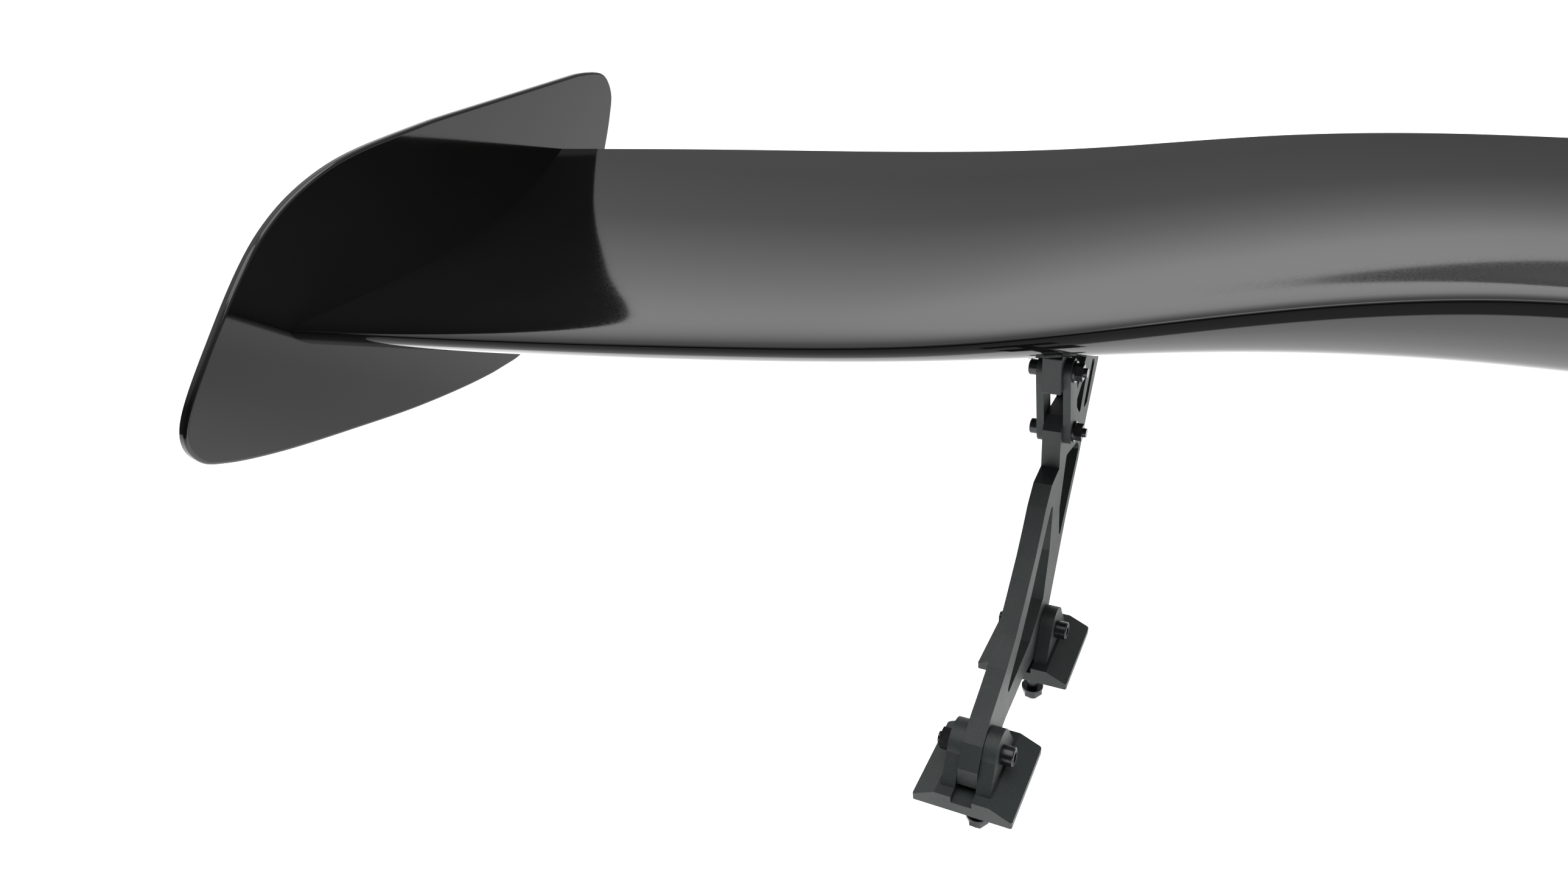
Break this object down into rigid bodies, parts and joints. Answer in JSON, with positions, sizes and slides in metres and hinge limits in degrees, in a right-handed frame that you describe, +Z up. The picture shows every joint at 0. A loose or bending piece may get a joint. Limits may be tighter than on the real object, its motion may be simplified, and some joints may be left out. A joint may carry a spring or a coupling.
{
  "type": "racing rear wing",
  "caption": "Full-width raised-centre rear wing with curved endplates on two raked truss legs with tilting clamp feet.",
  "frame": {"origin": "centre of the four mounting studs, on the plane of the foot pads' undersides", "axes": "+X across the span to the right, -Y towards the leading edge, +Z up"},
  "size_m": [1.4542, 0.4393, 0.3138],
  "materials": {
    "gloss_black": "polished gloss black moulding",
    "powder_coat": "satin black powder coat",
    "black_bolt": "glossy black plated steel",
    "rubber_pad": "matt black rubber",
    "inner_block": "bonded core, hidden"
  },
  "bodies": {
    "stands": {"leg_left": "powder_coat", "link_plates_left": "powder_coat", "leg_right": "powder_coat", "link_plates_right": "powder_coat", "link_bolts_lower": "black_bolt", "link_bolts_upper": "black_bolt", "link_nuts_lower": "black_bolt", "link_nuts_upper": "black_bolt", "wing_pivot_bolts": "black_bolt", "wing_pivot_nuts": "black_bolt", "foot_pivot_bolts": "black_bolt", "foot_pivot_nuts": "black_bolt"},
    "wing": {"endplate_left": "gloss_black", "wing_bracket_left": "powder_coat", "bracket_pad_left": "rubber_pad", "mount_block_left": "inner_block", "tip_block_left": "inner_block", "endplate_right": "gloss_black", "wing_bracket_right": "powder_coat", "bracket_pad_right": "rubber_pad", "mount_block_right": "inner_block", "tip_block_right": "inner_block", "wing_upper_skin": "gloss_black", "wing_lower_skin": "gloss_black", "wing_spar": "inner_block", "wing_ribs": "inner_block", "endplate_screws": "black_bolt", "bracket_screws": "black_bolt"},
    "foot_front_left_body": {"foot_front_left": "powder_coat", "foot_pad_front_left": "rubber_pad", "foot_stud_front_left": "black_bolt", "dome_nut_front_left": "black_bolt"},
    "foot_rear_left_body": {"foot_rear_left": "powder_coat", "foot_pad_rear_left": "rubber_pad", "foot_stud_rear_left": "black_bolt", "dome_nut_rear_left": "black_bolt"},
    "foot_front_right_body": {"foot_front_right": "powder_coat", "foot_pad_front_right": "rubber_pad", "foot_stud_front_right": "black_bolt", "dome_nut_front_right": "black_bolt"},
    "foot_rear_right_body": {"foot_rear_right": "powder_coat", "foot_pad_rear_right": "rubber_pad", "foot_stud_rear_right": "black_bolt", "dome_nut_rear_right": "black_bolt"}
  },
  "joints": [
    {"name": "wing_pitch", "type": "hinge", "parent": "stands", "child": "wing", "pos_m": [0, 0.16, 0.163], "axis": [1, 0, 0], "range_deg": [-3, 3]},
    {"name": "foot_tilt_front_left", "type": "hinge", "parent": "stands", "child": "foot_front_left_body", "pos_m": [-0.29, -0.052, 0.02], "axis": [1, 0, 0], "range_deg": [-10, 10]},
    {"name": "foot_tilt_rear_left", "type": "hinge", "parent": "stands", "child": "foot_rear_left_body", "pos_m": [-0.29, 0.052, 0.02], "axis": [1, 0, 0], "range_deg": [-10, 10]},
    {"name": "foot_tilt_front_right", "type": "hinge", "parent": "stands", "child": "foot_front_right_body", "pos_m": [0.29, -0.052, 0.02], "axis": [1, 0, 0], "range_deg": [-10, 10]},
    {"name": "foot_tilt_rear_right", "type": "hinge", "parent": "stands", "child": "foot_rear_right_body", "pos_m": [0.29, 0.052, 0.02], "axis": [1, 0, 0], "range_deg": [-10, 10]}
  ]
}
